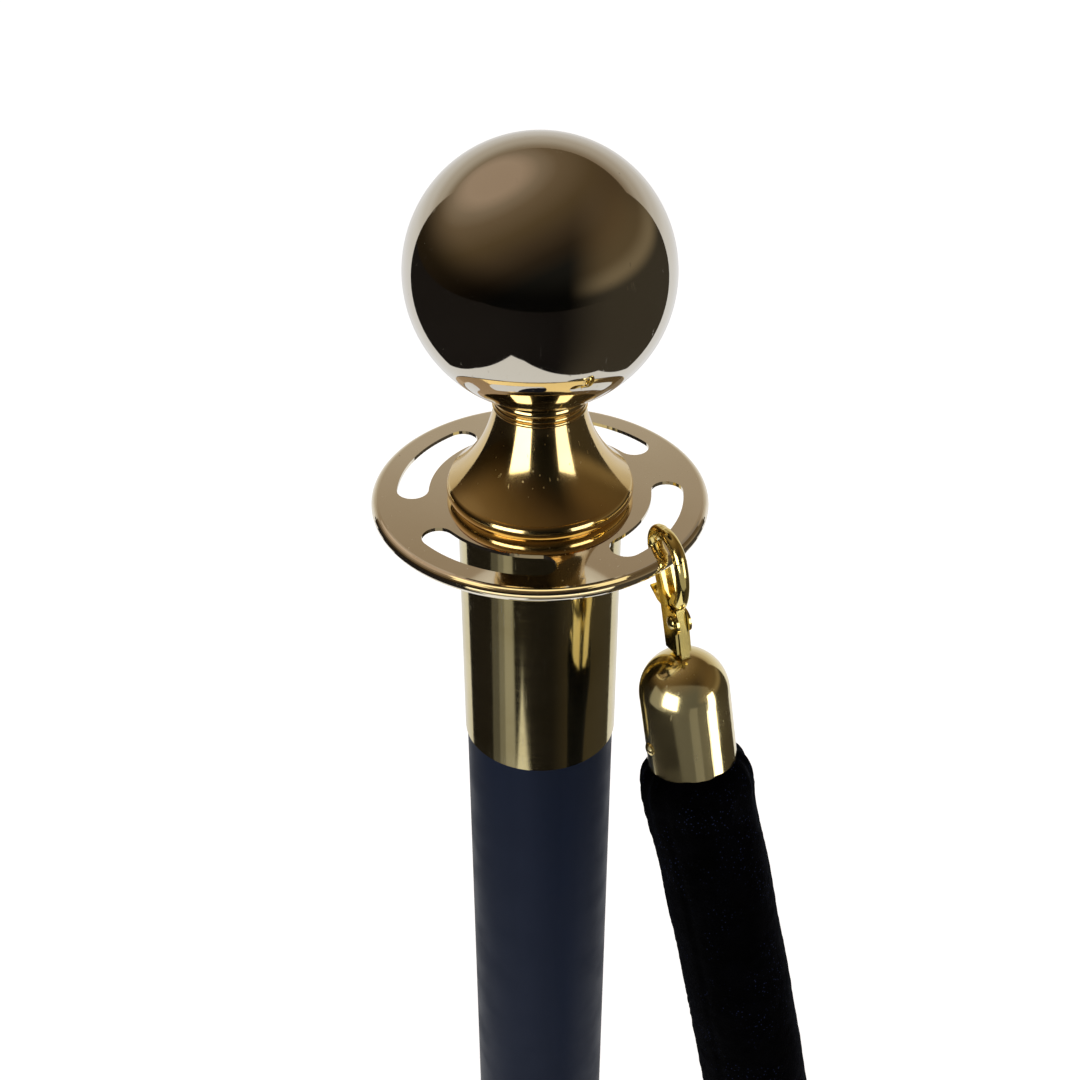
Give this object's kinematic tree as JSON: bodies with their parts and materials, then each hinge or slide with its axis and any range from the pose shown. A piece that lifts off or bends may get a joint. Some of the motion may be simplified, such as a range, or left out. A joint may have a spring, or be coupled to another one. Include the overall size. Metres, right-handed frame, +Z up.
{
  "type": "rope barrier stanchion",
  "caption": "Free-standing crowd-barrier post with a ball finial, a slotted rope ring, a weighted domed base and a velvet rope with spring snap hooks.",
  "frame": {"origin": "middle of the base, on the floor", "axes": "+Z up along the post; -Y towards the viewer; the near rope hook hangs between +X and -Y"},
  "size_m": [0.3887, 0.3776, 0.9962],
  "materials": {
    "ball_gold": "polished",
    "hook_gold": "polished",
    "satin_black": "satin",
    "plated_steel": "satin",
    "iron": "matte",
    "rubber": "matte",
    "velvet": "velvet pile"
  },
  "bodies": {
    "stanchion": {"floor_ring": "rubber", "base_weight": "iron", "base_cover": "satin_black", "base_collar": "satin_black", "post_tube": "satin_black", "post_sleeve": "ball_gold", "top_plug": "plated_steel", "tie_rod": "plated_steel", "clamp_nut": "plated_steel", "clamp_washer": "plated_steel", "ring_plate": "ball_gold", "near_hook": "hook_gold", "near_gate_rivet": "hook_gold", "near_cap": "hook_gold", "near_cap_rivets": "hook_gold", "near_hook_pin": "plated_steel", "far_hook": "hook_gold", "far_gate_rivet": "hook_gold", "far_cap": "hook_gold", "far_cap_rivets": "hook_gold", "far_hook_pin": "plated_steel", "rope": "velvet"},
    "finial_thread": {"finial_insert": "plated_steel"},
    "finial": {"bell": "ball_gold", "neck_collar": "ball_gold", "ball": "ball_gold"},
    "near_gate_body": {"near_gate": "hook_gold", "near_gate_spring": "plated_steel"},
    "far_gate_body": {"far_gate": "hook_gold", "far_gate_spring": "plated_steel"}
  },
  "joints": [
    {"name": "finial_lift", "type": "slide", "parent": "stanchion", "child": "finial_thread", "axis": [0, 0, 1], "range_m": [0, 0.0075]},
    {"name": "finial_turn", "type": "hinge", "parent": "finial_thread", "child": "finial", "pos_m": [0, 0, 0.9], "axis": [0, 0, 1], "range_deg": [0, 1800]},
    {"name": "near_gate_hinge", "type": "hinge", "parent": "stanchion", "child": "near_gate_body", "pos_m": [0.04206, -0.03663, 0.85891], "axis": [0.9084, 0.4121, 0.0711], "range_deg": [0, 20], "stiffness_Nm_per_rad": 0.05, "springref_deg": -14.32},
    {"name": "far_gate_hinge", "type": "hinge", "parent": "stanchion", "child": "far_gate_body", "pos_m": [-0.14275, 0.15221, 0.01223], "axis": [0.0719, 0.0392, -0.9966], "range_deg": [0, 20], "stiffness_Nm_per_rad": 0.05, "springref_deg": -14.32}
  ],
  "couplings": [
    {"joint": "finial_lift", "follows": "finial_turn", "m_per_rad": 0.00023873}
  ]
}
